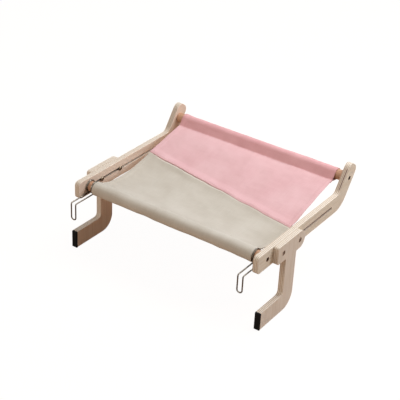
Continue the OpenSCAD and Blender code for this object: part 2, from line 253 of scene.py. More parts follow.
# %% [markdown]
# ## Light
# In the photograph the boards' top edges are the lightest and the undersides are dark, so one large softbox
# hangs above the perch, a little behind it. The outer faces are cooler in tint than the front ends, so a cool
# lamp fills from the right and a warm one from the front.

# %% Soft lamps
def soft_lamp(name, place, size, watts, colour):
    """A square area lamp, aimed at the perch."""
    data = bpy.data.lights.new(name, "AREA")
    data.size = size
    data.energy = watts
    data.color = linear(colour)[:3]
    lamp = new_object(name, data)
    lamp.location = place
    lamp.rotation_euler = (TARGET - lamp.location).to_track_quat("-Z", "Y").to_euler()
    print(name, "watts:", watts)


soft_lamp("overhead softbox", place=(0.45, 0.75, 1.65), size=1.2, watts=27, colour="#FFFFFF")
soft_lamp("cool right fill", place=(1.95, 0.95, 1.15), size=0.8, watts=14.5, colour="#E2ECFF")
soft_lamp("warm front fill", place=(-0.5, -2.0, 0.95), size=1.4, watts=12.5, colour="#FFEEDC")

# %% [markdown]
# ## Birch plywood
# The rails and legs are cut from 12 mm birch plywood, sanded and sealed with a clear matt lacquer. Rotary
# cut veneer gives the faces a faint long grain, and each board's veneer has a tone of its own; the left
# boards' tones are also warmer and darker as painted shade, for the shade that their seen faces lie in. The
# cut edges
# show the plies: light long grain and darker end grain in turn, with thin brown glue lines. The plies follow
# the depth in the board, so face and edge come from one material that looks at the surface's direction. The
# walls of the holes and slots are darkened as painted shade of the recesses, and so are the cut edges of the
# upturned ends, where one glue line of the right rail stands open.

# %% Veneer of the faces
GRAIN_WIDTH_MM = 1.1      # from one growth line of the veneer to the next
GRAIN_LENGTH_MM = 70      # how far a line runs before it fades
BANDS = 9                 # soft bands are so many times as wide and as long as the lines


def veneer_face(tree, place, grain_axis, veneer):
    """A face's colour ramp and the noise of its growth lines: fine lines within wide soft bands."""
    fine = [1 / (GRAIN_WIDTH_MM * MM)] * 3
    fine[grain_axis] = 1 / (GRAIN_LENGTH_MM * MM)
    wide = [scale / BANDS for scale in fine]
    lines = add(tree, "TexNoise", inputs={
        "Vector": add(tree, "Mapping", inputs={"Vector": place, "Scale": fine}),
        "Scale": 1, "Detail": 3, "Roughness": 0.6, "Distortion": 0.3})
    bands = add(tree, "TexNoise", inputs={
        "Vector": add(tree, "Mapping", inputs={"Vector": place, "Scale": wide}),
        "Scale": 1, "Detail": 2, "Roughness": 0.5, "Distortion": 0.8})
    grain = add(tree, "Mix", inputs={SHARE: 0.3, VALUE_A: lines, VALUE_B: bands})
    return add(tree, "ValToRGB", inputs={0: grain}, stops=list(zip((0.3, 0.5, 0.7), veneer))), lines


# %% Plies of the cut edges
PLIES = 7                 # real 12 mm board has 9, which would be too fine to see
SPECKLE_MM = 1.5


def cut_edge(tree, place, depth, inner_x):
    """Colour of a cut edge: the depth in the board picks the ply, and every second one is end grain."""
    ply = add(tree, "MapRange", {"clamp": False}, {
        "Value": depth, "From Min": inner_x, "From Max": inner_x + board_t, "To Max": PLIES})
    half_turn = add(tree, "Math", {"operation": "PINGPONG"}, {0: ply, 1: 1})
    end_grain = add(tree, "MapRange", SOFT_STEP, {"Value": half_turn, "From Min": 0.35, "From Max": 0.65})
    within = add(tree, "Math", {"operation": "FRACT"}, {0: ply})
    from_middle = add(tree, "Math", {"operation": "SUBTRACT"}, {0: within, 1: 0.5})
    from_middle = add(tree, "Math", {"operation": "ABSOLUTE"}, {0: from_middle})
    glue = add(tree, "MapRange", SOFT_STEP, {
        "Value": from_middle, "From Min": 0.40, "From Max": 0.49, "To Max": 0.55})
    speckle = add(tree, "TexNoise", inputs={"Vector": place, "Scale": 1 / (SPECKLE_MM * MM), "Detail": 2})
    pale = add(tree, "ValToRGB", inputs={0: speckle}, stops=[(0.3, "#EFE5D7"), (0.7, "#F8F1E7")])
    dark = add(tree, "ValToRGB", inputs={0: speckle}, stops=[(0.3, "#C3AB91"), (0.7, "#D5C2AA")])
    plies = add(tree, "Mix", TWO_COLOURS, {SHARE: end_grain, UNDER: pale, OVER: dark}).outputs[MIXED]
    return add(tree, "Mix", TWO_COLOURS, {SHARE: glue, UNDER: plies, OVER: linear("#97775A")}).outputs[MIXED]


# %% Painted shade on the cut edges, and an open glue line
UPTURN_SHADE = 0.3                                 # how much painted shade darkens the upturned ends' cut edges
UPTURN_SHADE_START, UPTURN_SHADE_END = 8 * MM, 3 * MM    # heights over which it comes and goes
LINE_CORE, LINE_HALF_W = 0.5 * MM, 1.1 * MM  # an open glue line is darkest within the first


def shaded_upturn(tree, edge, axes, heights, open_line_x):
    """The cut edge, darker between two heights as painted shade. At open_line_x, if given, a glue line shows
    dark.
    """
    low, high = heights
    begun = add(tree, "MapRange", SOFT_STEP, {
        "Value": axes.outputs["Z"], "From Min": low, "From Max": low + UPTURN_SHADE_START})
    still = add(tree, "MapRange", SOFT_STEP, {
        "Value": axes.outputs["Z"], "From Min": high - UPTURN_SHADE_END, "From Max": high,
        "To Min": 1, "To Max": 0})
    upturn = add(tree, "Math", {"operation": "MULTIPLY"}, {0: begun, 1: still})
    upturn_shade = add(tree, "Math", {"operation": "MULTIPLY"}, {0: upturn, 1: UPTURN_SHADE})
    # painted shade: the upturned ends' cut edges are darkened towards this colour
    edge = add(tree, "Mix", TWO_COLOURS, {
        SHARE: upturn_shade, UNDER: edge, OVER: linear("#A1836B")}).outputs[MIXED]
    if open_line_x is None:
        return edge
    off = add(tree, "Math", {"operation": "SUBTRACT"}, {0: axes.outputs["X"], 1: open_line_x})
    off = add(tree, "Math", {"operation": "ABSOLUTE"}, {0: off})
    line = add(tree, "MapRange", SOFT_STEP, {
        "Value": off, "From Min": LINE_CORE, "From Max": LINE_HALF_W, "To Min": 1, "To Max": 0})
    line = add(tree, "Math", {"operation": "MULTIPLY"}, {0: line, 1: upturn})
    return add(tree, "Mix", TWO_COLOURS, {SHARE: line, UNDER: edge, OVER: linear("#6E4838")}).outputs[MIXED]


def shaded_in_cuts(tree, edge, place, cuts):
    """The cut edge, darker in each cut as painted shade of the recess.

    A cut is its middle and its half sizes in y and z, and how dark it is."""
    for middle, half_sizes, share in cuts:
        off = add(tree, "VectorMath", {"operation": "SUBTRACT"}, {0: place, 1: (0, *middle)})
        off = add(tree, "VectorMath", {"operation": "ABSOLUTE"}, {0: off})
        off = add(tree, "SeparateXYZ", inputs={0: off})
        beside = add(tree, "Math", {"operation": "LESS_THAN"}, {0: off.outputs["Y"], 1: half_sizes[0]})
        level_with = add(tree, "Math", {"operation": "LESS_THAN"}, {0: off.outputs["Z"], 1: half_sizes[1]})
        inside = add(tree, "Math", {"operation": "MULTIPLY"}, {0: beside, 1: level_with})
        painted_shade = add(tree, "Math", {"operation": "MULTIPLY"}, {0: inside, 1: share})
        # painted shade: the walls of holes and slots are darkened towards this colour, where the recess lies
        # in shade
        edge = add(tree, "Mix", TWO_COLOURS, {
            SHARE: painted_shade, UNDER: edge, OVER: linear("#7A5238")}).outputs[MIXED]
    return edge


# %% Plywood material
def birch_plywood(name, inner_x, grain_axis, veneer, cuts, upturn=None, open_line_x=None):
    """Lacquered birch plywood for an upright board whose inner face is at x = +-inner_x.

    veneer gives the dark, middle and light tone of its faces, cuts are the holes and slot that are darkened
    as painted shade, and upturn gives the heights of a stretch of the cut edge that is darkened as painted
    shade."""
    material, tree, shader = new_material(name, {"Roughness": 0.52, "IOR": 1.5, "Specular IOR Level": 0.35})
    place = add(tree, "TexCoord").outputs["Object"]
    axes = add(tree, "SeparateXYZ", inputs={0: place})
    depth = add(tree, "Math", {"operation": "ABSOLUTE"}, {0: axes.outputs["X"]})
    face, grain = veneer_face(tree, place, grain_axis, veneer)
    edge = cut_edge(tree, place, depth, inner_x)
    if upturn:
        edge = shaded_upturn(tree, edge, axes, upturn, open_line_x)
    edge = shaded_in_cuts(tree, edge, place, cuts)
    facing = add(tree, "SeparateXYZ", inputs={0: add(tree, "NewGeometry").outputs["Normal"]})
    across = add(tree, "Math", {"operation": "ABSOLUTE"}, {0: facing.outputs["X"]})
    on_face = add(tree, "MapRange", SOFT_STEP, {"Value": across, "From Min": 0.72, "From Max": 0.92})
    wood = add(tree, "Mix", TWO_COLOURS, {SHARE: on_face, UNDER: edge, OVER: face})
    bump = add(tree, "Bump", inputs={"Strength": 0.25, "Distance": 0.12 * MM, "Height": grain})
    plug(shader, {"Base Color": wood.outputs[MIXED], "Normal": bump})
    return material


# %% Plywood of each board
ALONG_RAIL, UP_LEG = 1, 2            # axis of the face grain
UPTURN = (166 * MM, 209 * MM)        # heights of the stretch that is darkened as painted shade
HOLE = (5.2 * MM, 5.2 * MM)          # half sizes that take in a hole's wall
SLOT_START, SLOT_HALF_H = 42 * MM, 4 * MM
SHADED_SLOT_END = {"left": 132 * MM, "right": 286 * MM}    # painted shade in the left slot only as far as the leg's rear bolt
# painted shade: how much the walls of the holes and slots are darkened
HOLE_SHADE, SLOT_SHADE = 0.9, 0.35
OPEN_LINE_SHARE = 0.7                # of the board's thickness, from its inner face
OPEN_LINE_X = {"left": None, "right": rail_low.x + OPEN_LINE_SHARE * board_t}
# each board has a tone of its own, and the left boards' tones are also warmer and darker as painted shade,
# for the shade that their seen faces lie in
RAIL_VENEER_AND_SHADE = {"left": ("#D2B59C", "#E1C8B2", "#EAD6C4"), "right": ("#D4C2A9", "#E3D6C0", "#ECE5D3")}
LEG_VENEER_AND_SHADE = {"left": ("#D8B698", "#E8CAAE", "#F1D8BF"), "right": ("#D2BFA9", "#E1D3C0", "#EAE1D3")}


def slot_walls(start, end):
    """The stretch of a rail's slot between two places that are measured from the rail's front end."""
    return (rail_low.y + (start + end) / 2, front_axis.y), ((end - start) / 2, SLOT_HALF_H), SLOT_SHADE


bolt_holes = [(axis, HOLE, HOLE_SHADE) for axis in (front_axis, rear_axis)]
nut_holes = [(side_view(f"right_leg_{end}_sleeve_nut"), HOLE, HOLE_SHADE) for end in ("front", "rear")]
rail_wood, leg_wood = {}, {}
for side in ("left", "right"):
    rail_cuts = [slot_walls(SLOT_START, SHADED_SLOT_END[side]), *bolt_holes]
    rail_wood[side] = birch_plywood(
        f"birch plywood of the {side} rail, lacquered", rail_low.x, ALONG_RAIL, RAIL_VENEER_AND_SHADE[side],
        rail_cuts, UPTURN, OPEN_LINE_X[side])
    leg_wood[side] = birch_plywood(
        f"birch plywood of the {side} leg, lacquered", leg_inner_x, UP_LEG, LEG_VENEER_AND_SHADE[side], nut_holes)
print("ply thickness drawn, mm:", round(board_t / PLIES / MM, 2))

# %% [markdown]
# ## Beech dowels
# Turned beech is pinker than birch, and its grain shows as many short dark flecks along the rod. A noise
# that is stretched along X gives the lines, and a second, sharper one gives the flecks.

# %% Beech material
GROWTH_LINE_MM = (50, 1.111, 1.111)       # length along the rod, and from one line to the next
FLECK_MM = (3.333, 0.4545, 0.4545)        # length along the rod, and width


def beech():
    """Turned and sanded beech with the grain along X."""
    material, tree, shader = new_material("beech, turned and sanded", {"Roughness": 0.55, "IOR": 1.5})
    place = add(tree, "TexCoord").outputs["Object"]
    along_rod = [
        add(tree, "Mapping", inputs={"Vector": place, "Scale": [1 / (size * MM) for size in sizes]})
        for sizes in (GROWTH_LINE_MM, FLECK_MM)]
    lines = add(tree, "TexNoise", inputs={"Vector": along_rod[0], "Scale": 1, "Detail": 3, "Distortion": 0.4})
    flecks = add(tree, "TexNoise", inputs={"Vector": along_rod[1], "Scale": 1, "Detail": 1})
    base = add(tree, "ValToRGB", inputs={0: lines}, stops=[(0.3, "#B58768"), (0.7, "#CFA588")])
    dark = add(tree, "MapRange", inputs={
        "Value": flecks, "From Min": 0.62, "From Max": 0.72, "To Max": 0.5})
    wood = add(tree, "Mix", TWO_COLOURS, {SHARE: dark, UNDER: base, OVER: linear("#8E6340")})
    bump = add(tree, "Bump", inputs={"Strength": 0.2, "Distance": 0.1 * MM, "Height": lines})
    plug(shader, {"Base Color": wood.outputs[MIXED], "Normal": bump})
    return material


dowel_beech = beech()
print("material:", dowel_beech.name)

# %% [markdown]
# ## Metal and rubber
# The leg bolts are nickel plated steel and their sleeve nuts are zinc plated and dulled. The dowel bolts'
# steel is near black and brown, as painted shade of the holes they sit in. The inserts are zinc plated, and
# the hooks are drawn and plated wire. All are metals, so their colour is what they reflect, and it and their
# roughness vary a little with wear. The hooks' coarse dark and light spots are also painted shade and glints
# of the coiled wire. The foot pads are moulded black rubber with a fine matt grain.

# %% Metal and rubber materials
WEAR = 0.08            # how far the roughness strays to either side
RUBBER_GRAIN_MM = 0.9


def plated_metal(name, dark, light, roughness, mark_mm):
    """A plated metal with two tones. mark_mm is the spacing of its fine marks."""
    material, tree, shader = new_material(name, {"Metallic": 1})
    place = add(tree, "TexCoord").outputs["Object"]
    marks = add(tree, "TexNoise", inputs={"Vector": place, "Scale": 1 / (mark_mm * MM), "Detail": 3})
    colour = add(tree, "ValToRGB", inputs={0: marks}, stops=[(0.35, dark), (0.65, light)])
    rough = add(tree, "MapRange", inputs={
        "Value": marks, "From Min": 0.3, "From Max": 0.7,
        "To Min": roughness - WEAR, "To Max": roughness + WEAR})
    plug(shader, {"Base Color": colour, "Roughness": rough})
    return material


def moulded_rubber():
    """Black rubber with the fine grain of its mould."""
    material, tree, shader = new_material("rubber, moulded black", {
        "Roughness": 0.75, "IOR": 1.52, "Specular IOR Level": 0.15})
    place = add(tree, "TexCoord").outputs["Object"]
    grain = add(tree, "TexNoise", inputs={"Vector": place, "Scale": 1 / (RUBBER_GRAIN_MM * MM), "Detail": 2})
    colour = add(tree, "ValToRGB", inputs={0: grain}, stops=[(0.3, "#080808"), (0.7, "#121211")])
    bump = add(tree, "Bump", inputs={"Strength": 0.4, "Distance": 0.1 * MM, "Height": grain})
    plug(shader, {"Base Color": colour, "Normal": bump})
    return material


bolt_steel = plated_metal("steel, nickel plated", "#6E6154", "#A2937F", 0.34, mark_mm=0.4)
# painted shade: the dowel bolts are near black and brown for the shade of their holes
shaded_cap_steel = plated_metal("steel, darkened as painted shade", "#1C120A", "#33241A", 0.45, mark_mm=0.4)
insert_steel = plated_metal("steel, zinc plated", "#A39C88", "#C2BBA8", 0.42, mark_mm=0.6)
nut_steel = plated_metal("steel, zinc plated and dulled", "#9C8F84", "#CFC4B8", 0.36, mark_mm=0.5)
# painted shade and glints: the wire's coarse dark and light spots stand for the shade and highlights of its
# coils, besides its wear
hook_wire = plated_metal("steel wire, drawn and plated", "#4A4138", "#948D82", 0.28, mark_mm=2.6)
pad_rubber = moulded_rubber()
print("metals:", [metal.name for metal in (bolt_steel, shaded_cap_steel, insert_steel, nut_steel, hook_wire)])

# %% [markdown]
# ## Canvas
# The sling is plain woven cotton canvas, dyed pink at the back and left beige at the front. Plain weave
# is a chequer of over and under threads, with thicker threads here and there. The cloth below carries a map
# in metres, measured along it, so the weave keeps its spacing round the dowels. A second map tells how far a
# place is from the seam, where the cloth is puckered and a paler line is painted on the ridge as a highlight.
# The pink sleeve is painted darker as shade. Loose fibres catch the light at a low angle, which a little
# sheen gives.

# %% Threads of the canvas
THREAD_MM = 0.9                 # real canvas has a thread every 0.5 mm, which would be too fine to see
SLUB_MM, SLUB_LENGTH_MM = 1.6, 40    # width and length of a thicker thread
WEAVE_MAP, SEAM_MAP = "weave", "from seam"


def plain_weave(tree, cloth_map):
    """The chequer of over and under threads, from -1 to 1."""
    thread = add(tree, "VectorMath", {"operation": "SCALE"}, {
        0: cloth_map, "Scale": math.pi / (THREAD_MM * MM)})
    thread = add(tree, "SeparateXYZ", inputs={0: thread})
    warp = add(tree, "Math", {"operation": "SINE"}, {0: thread.outputs["X"]})
    weft = add(tree, "Math", {"operation": "SINE"}, {0: thread.outputs["Y"]})
    return add(tree, "Math", {"operation": "MULTIPLY"}, {0: warp, 1: weft})


def thick_threads(tree, cloth_map):
    """Thicker threads that run along the cloth and across it."""
    narrow, long = 1 / (SLUB_MM * MM), 1 / (SLUB_LENGTH_MM * MM)
    ways = []
    for scale in ((narrow, long, 1), (long, narrow, 1)):
        stretch = add(tree, "Mapping", inputs={"Vector": cloth_map, "Scale": scale})
        ways.append(add(tree, "TexNoise", inputs={"Vector": stretch, "Scale": 1, "Detail": 2}))
    return add(tree, "Mix", inputs={SHARE: 0.5, VALUE_A: ways[0], VALUE_B: ways[1]})


# %% Painted highlight and puckers at the seam
HIGHLIGHT_LINE, HIGHLIGHT_CORE, HIGHLIGHT_HALF_W = 2.3 * MM, 0.6 * MM, 1.8 * MM    # place of the painted highlight before the seam, and its widths
HIGHLIGHT_FADE = (-50 * MM, 50 * MM)       # the painted highlight fades between these places, from left to right
HIGHLIGHT_START = (-185 * MM, -160 * MM)   # and begins here at the left
FOLD_MM, FOLD_LENGTH_MM = 4.5, 25    # width and length of a pucker's fold
PUCKER_CORE, PUCKER_REACH = 2 * MM, 14 * MM


def painted_ridge_highlight(tree, seam_place):
    """1 on the top of the small ridge in front of the seam, which is painted paler as a highlight."""
    off = add(tree, "Math", {"operation": "ADD"}, {0: seam_place.outputs["Y"], 1: HIGHLIGHT_LINE})
    off = add(tree, "Math", {"operation": "ABSOLUTE"}, {0: off})
    highlight = add(tree, "MapRange", SOFT_STEP, {
        "Value": off, "From Min": HIGHLIGHT_CORE, "From Max": HIGHLIGHT_HALF_W, "To Min": 1, "To Max": 0})
    for (start, end), before, after in ((HIGHLIGHT_FADE, 1, 0.3), (HIGHLIGHT_START, 0, 1)):
        share = add(tree, "MapRange", SOFT_STEP, {
            "Value": seam_place.outputs["X"], "From Min": start, "From Max": end,
            "To Min": before, "To Max": after})
        highlight = add(tree, "Math", {"operation": "MULTIPLY"}, {0: highlight, 1: share})
    return highlight


def seam_puckers(tree, seam_map, seam_place):
    """Short folds across the seam that die out within its lap."""
    scale = (1 / (FOLD_MM * MM), 1 / (FOLD_LENGTH_MM * MM), 1)
    stretch = add(tree, "Mapping", inputs={"Vector": seam_map, "Scale": scale})
    folds = add(tree, "TexNoise", inputs={"Vector": stretch, "Scale": 1, "Detail": 1})
    off = add(tree, "Math", {"operation": "ABSOLUTE"}, {0: seam_place.outputs["Y"]})
    near = add(tree, "MapRange", SOFT_STEP, {
        "Value": off, "From Min": PUCKER_CORE, "From Max": PUCKER_REACH, "To Min": 1, "To Max": 0})
    return add(tree, "Math", {"operation": "MULTIPLY"}, {0: folds, 1: near})


# %% Canvas material
PATCH_MM = 70                   # size of the cloth's uneven patches of dye
# painted shade: soft edge of the darker, more saturated tone painted on the pink sleeve
SLEEVE_SHADE_EDGE = 2 * MM


def canvas(name, shade, middle, light, highlight_colour, sleeve_shade_to=None):
    """Plain woven canvas in three shades of one dye, and the paler colour of the highlight painted on the
    seam's ridge.

    sleeve_shade_to gives how far from its hem the cloth is painted darker and more saturated, as shade on the
    sleeve."""
    material, tree, shader = new_material(name, {
        "Roughness": 0.88, "IOR": 1.46, "Specular IOR Level": 0.25,
        "Sheen Weight": 0.12, "Sheen Roughness": 0.5})
    cloth_map = add(tree, "UVMap", {"uv_map": WEAVE_MAP}).outputs[0]
    seam_map = add(tree, "UVMap", {"uv_map": SEAM_MAP}).outputs[0]
    place = add(tree, "TexCoord").outputs["Object"]
    seam_place = add(tree, "SeparateXYZ", inputs={0: seam_map})
    weave, slubs = plain_weave(tree, cloth_map), thick_threads(tree, cloth_map)
    patches = add(tree, "TexNoise", inputs={"Vector": place, "Scale": 1 / (PATCH_MM * MM), "Detail": 3})
    tone = add(tree, "Mix", inputs={SHARE: 0.5, VALUE_A: slubs, VALUE_B: patches})
    woven = add(tree, "Math", {"operation": "MULTIPLY_ADD"}, {0: weave, 1: 0.05, 2: tone})
    dye = add(tree, "ValToRGB", inputs={0: woven}, stops=[(0.3, shade), (0.5, middle), (0.7, light)])
    if sleeve_shade_to:
        from_hem = add(tree, "SeparateXYZ", inputs={0: cloth_map}).outputs["Y"]
        sleeve_shade = add(tree, "MapRange", SOFT_STEP, {
            "Value": from_hem, "From Min": sleeve_shade_to - SLEEVE_SHADE_EDGE, "From Max": sleeve_shade_to,
            "To Min": 1, "To Max": 0})
        # painted shade: the sleeve's cloth is multiplied towards a darker pink for the shade that it lies in
        dye = add(tree, "Mix", {**TWO_COLOURS, "blend_type": "MULTIPLY"}, {
            SHARE: sleeve_shade, UNDER: dye, OVER: linear("#FCECEC")}).outputs[MIXED]
    # painted highlight: a paler line on the ridge in front of the seam, where the ridge would catch the light
    colour = add(tree, "Mix", TWO_COLOURS, {
        SHARE: painted_ridge_highlight(tree, seam_place), UNDER: dye, OVER: linear(highlight_colour)})
    height = add(tree, "Math", {"operation": "MULTIPLY_ADD"}, {0: weave, 1: 0.5, 2: slubs})
    bump = add(tree, "Bump", inputs={"Strength": 0.35, "Distance": 0.2 * MM, "Height": height})
    bump = add(tree, "Bump", inputs={
        "Strength": 0.5, "Distance": 1.2 * MM, "Normal": bump,
        "Height": seam_puckers(tree, seam_map, seam_place)})
    plug(shader, {"Base Color": colour.outputs[MIXED], "Normal": bump})
    return material


def sewing_thread(name, dark, light):
    """Twisted polyester thread: fine slanting strands that shine a little."""
    material, tree, shader = new_material(name, {"Roughness": 0.45, "IOR": 1.5, "Specular IOR Level": 0.4})
    place = add(tree, "TexCoord").outputs["Object"]
    strands = add(tree, "TexWave", {"bands_direction": "DIAGONAL"}, {
        "Vector": place, "Scale": 0.3 / MM, "Distortion": 0.5})
    colour = add(tree, "ValToRGB", inputs={0: strands.outputs["Fac"]}, stops=[(0.2, dark), (0.8, light)])
    plug(shader, {"Base Color": colour})
    return material


# painted highlight: each canvas's last colour is its paler line along the seam's ridge
beige_canvas = canvas("cotton canvas, undyed beige", "#C2B9AB", "#CDC5B8", "#D6CFC3", "#EAE4DA")
# painted shade: the pink cloth is darker for its first 95 mm from the hem, round the rear dowel
pink_canvas = canvas("cotton canvas, dyed pink", "#DEADB0", "#E6BABC", "#EDC5C7", "#F3D3D3",
                     sleeve_shade_to=95 * MM)
beige_thread = sewing_thread("polyester thread, twisted beige", "#B8AF9F", "#D8D0C2")
pink_thread = sewing_thread("polyester thread, twisted pink", "#D2999D", "#EDBDC0")
print("threads drawn to the centimetre:", round(10 / THREAD_MM, 1))

# %% [markdown]
# ## Boards with soft arrises
# The model's boards have sharp corners, and real ones are sanded: the outline's arrises are rounded by about
# a millimetre, and the rims of the slot and the bolt holes only lightly. Each board is copied from the
# model, its coplanar triangles are joined, and its edges are rounded in two passes. The outline is told from
# the rims by how tall the run of joined edges is. The copy then stands for the model's node.

# %% Round the arrises of a copy
MERGE = 0.002 * MM
FLAT_ANGLE, CORNER_ANGLE = math.radians(0.5), math.radians(32)
TALL = 20 * MM                  # a taller run of edges belongs to the outline
ROUNDING_SEGMENTS = 3


def sharp_runs(mesh):
    """Groups of joined edges that are sharper than CORNER_ANGLE, in the order of the mesh."""
    mesh.edges.index_update()
    left = {edge.index: edge for edge in mesh.edges if edge.calc_face_angle(0) > CORNER_ANGLE}
    runs = []
    while left:
        run, front = [], [left.pop(min(left))]
        while front:
            edge = front.pop()
            run.append(edge)
            near = {other.index for vert in edge.verts for other in vert.link_edges}
            front += [left.pop(index) for index in sorted(near) if index in left]
        runs.append(run)
    return runs


def softened(node, name, material, arris, rim):
    """A copy of a node with rounded edges, which rides on the node's body and stands for it."""
    source = frame["nodes"][node]
    mesh = bmesh.new()
    mesh.from_mesh(source.data)
    bmesh.ops.remove_doubles(mesh, verts=mesh.verts, dist=MERGE)
    bmesh.ops.dissolve_limit(mesh, angle_limit=FLAT_ANGLE, verts=mesh.verts, edges=mesh.edges)
    for size, tall in ((arris, True), (rim, False)):
        edges = []
        for run in sharp_runs(mesh):
            heights = [vert.co.z for edge in run for vert in edge.verts]
            if (max(heights) - min(heights) > TALL) == tall:
                edges += run
        if edges:
            bmesh.ops.bevel(mesh, geom=edges, offset=size, segments=ROUNDING_SEGMENTS, profile=0.5,
                            affect="EDGES", clamp_overlap=True)
    data = bpy.data.meshes.new(name)
    mesh.to_mesh(data)
    mesh.free()
    data.materials.append(material)
    data.shade_smooth()
    data.set_sharp_from_angle(angle=CORNER_ANGLE)
    piece = new_object(name, data)
    weighted = piece.modifiers.new("flat faces stay flat", "WEIGHTED_NORMAL")
    weighted.keep_sharp = True
    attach(piece, source["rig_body"])
    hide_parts(node)
    return piece


# %% Rails, legs, dowels and pads
BOARD_ARRIS, BOARD_RIM = 1.0 * MM, 0.3 * MM
PAD_ARRIS, DOWEL_ARRIS = 0.5 * MM, 0.8 * MM

for side in ("left", "right"):
    boards = {
        f"{side}_side_rail": (f"{side}_rail_board", rail_wood[side], "plywood", BOARD_ARRIS, BOARD_RIM),
        f"{side}_leg": (f"{side}_leg_board", leg_wood[side], "plywood", BOARD_ARRIS, BOARD_RIM),
        f"{side}_foot_pad": (f"{side}_rubber_pad", pad_rubber, "pad_rubber", PAD_ARRIS, PAD_ARRIS),
    }
    for node, (name, material, finish, arris, rim) in boards.items():
        piece = softened(node, name, material, arris, rim)
        print(name, "faces:", len(piece.data.polygons))
for end in ("front", "rear"):
    piece = softened(f"{end}_dowel", f"{end}_beech_dowel", dowel_beech, DOWEL_ARRIS, DOWEL_ARRIS)

# %% [markdown]
# ## Fasteners and hooks
# The bolts, sleeve nuts, inserts and hooks already have their real form in the model, so they keep it and
# only take their metal, which is told from the end of the node's name.

# %% Give the metal nodes their finish
METALS = {
    "dowel_bolt": shaded_cap_steel,
    "_bolt": bolt_steel,
    "nut": nut_steel,
    "insert": insert_steel,
    "hook": hook_wire,
}
for node, piece in frame["nodes"].items():
    metal = next((METALS[ending] for ending in METALS if node.endswith(ending)), None)
    if metal:
        piece.data.materials.clear()
        piece.data.materials.append(metal)
        print(node, "is", metal.name)

# %% [markdown]
# ## The sling
# The sling is sewn from two panels. The beige one has a sleeve round the front dowel and the pink one a
# sleeve round the rear dowel; they meet in a slanting lapped seam, pink over beige. Cloth that hangs from two
# rods sags most in the middle, and it is drawn tight at its sewn ends. Here the panels are built as that
# curve, column by column, since the curve was measured in the photograph and a simulation would only come
# near it. Seen from the side, the sheet hangs between two stitch lines, one just behind the front dowel and
# one just in front of the rear dowel.

# %% Sizes of the sling
SLEEVE_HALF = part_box("front_canvas_panel")[1].x   # half the width of the sleeves
CANVAS_T = 0.9 * MM
FOLD_T = 0.9 * MM                # how much thicker a folded hem is
LAYER = 1.5 * MM                 # from one layer of cloth to the next
SIDE_HEM, SLEEVE_HEM = 9 * MM, 8 * MM
CLOTH_LIFT = dowel_r + 0.9 * MM  # middle of the cloth above a dowel's axis
FRONT_SLEEVE_R = 13.2 * MM       # the front sleeve is slack
# From each dowel's axis to the stitch line of its sleeve, back or forward and up or down
FRONT_LAP, FRONT_LAP_RISE = 20 * MM, 2 * MM
REAR_LAP, REAR_LAP_DROP = 19.5 * MM, 7 * MM
# Sag of the sheet at its sides and in the middle, and how much fuller it is towards the front
EDGE_SAG, MIDDLE_SAG, SAG_LEAN = 15.5 * MM, 18 * MM, 0.9
SEAM_LEFT, SEAM_RIGHT = rail_low.y + 213 * MM, rail_low.y + 159.5 * MM
SEAM_LAP = 10 * MM               # how far the pink panel lies over the beige one
SETTLE = 12 * MM                 # how far behind the lap the pink panel comes down to the sheet

sheet_front = front_axis + Vector((FRONT_LAP, FRONT_LAP_RISE))
sheet_rear = rear_axis - Vector((REAR_LAP, REAR_LAP_DROP))
sleeve_centre = front_axis + Vector((0, CLOTH_LIFT - FRONT_SLEEVE_R))
print("sheet from", [round(v / MM, 1) for v in sheet_front], "to", [round(v / MM, 1) for v in sheet_rear])


# %% Soft steps, bells and ripples
def between(value, low, high):
    return min(high, max(low, value))


def ramp(value, start, end):
    """0 before start and 1 after end, with a soft rise."""
    t = between((value - start) / (end - start), 0, 1)
    return t * t * (3 - 2 * t)


def bell(distance, width):
    """1 at no distance, and nearly nothing beyond twice the width."""
    return math.exp(-(distance / width) ** 2)


def ripple(x, spacing, *lane):
    """Chance waves along the sling, about one to each spacing. Each pair of lane numbers gives its own."""
    return noise.noise(Vector((x / spacing, *lane)))


print("halfway up a ramp:", ramp(5, 0, 10))

# %% [markdown]
# ## How the seam lies
# The seam runs slantwise with the slight waves of cloth that is fed by hand, and it bows a little. It is
# rolled and full at the left and pressed flat at the right. Two cloths that are drawn together stand up in a
# low welt, the folded edge of the pink one comes down in a small round, and the beige one in front of it is
# pushed up into a ridge.

# %% Line and fullness of the seam
SEAM_WAVE, SEAM_WAVE_SPACING = 2 * MM, 42 * MM
SEAM_BOW, SEAM_BOW_X, SEAM_BOW_W = 2.4 * MM, 30 * MM, 95 * MM
SEAM_FILLS = (-188 * MM, -154 * MM)      # where along the sling the seam becomes full
SEAM_FLATTENS = (-45 * MM, 50 * MM)      # and where it is pressed flat again


def seam_y(x):
    """Where the pink panel's folded edge lies."""
    wave = SEAM_WAVE * ripple(x, SEAM_WAVE_SPACING, 3, 5) + SEAM_BOW * bell(x - SEAM_BOW_X, SEAM_BOW_W)
    return SEAM_LEFT + (SEAM_RIGHT - SEAM_LEFT) * (x / SLEEVE_HALF / 2 + 0.5) + wave


def fullness(x):
    """How thick and rolled the seam is: full left of the middle, and pressed flat at both ends."""
    return ramp(x, *SEAM_FILLS) * (1 - ramp(x, *SEAM_FLATTENS))


print("seam's ends, mm:", [round(seam_y(x) / MM, 1) for x in (-SLEEVE_HALF, SLEEVE_HALF)])

# %% Height of the sheet and its seam
WELT = 3.4 * MM                          # how far the seam stands up at its most puckered place
WELT_X, WELT_LENGTH, WELT_LEAST = -105 * MM, 60 * MM, 0.35    # that place, its length, and the rest's share
WELT_LEAD, WELT_FRONT, WELT_BEHIND = 2 * MM, 9 * MM, 14 * MM    # crest before the folded edge, and widths
EDGE_DROP = 0.85 * MM                    # how far the folded edge comes down onto the cloth below
ROUND_FULL, ROUND_PRESSED = 1.25 * MM, 4 * MM    # reach of the edge's round
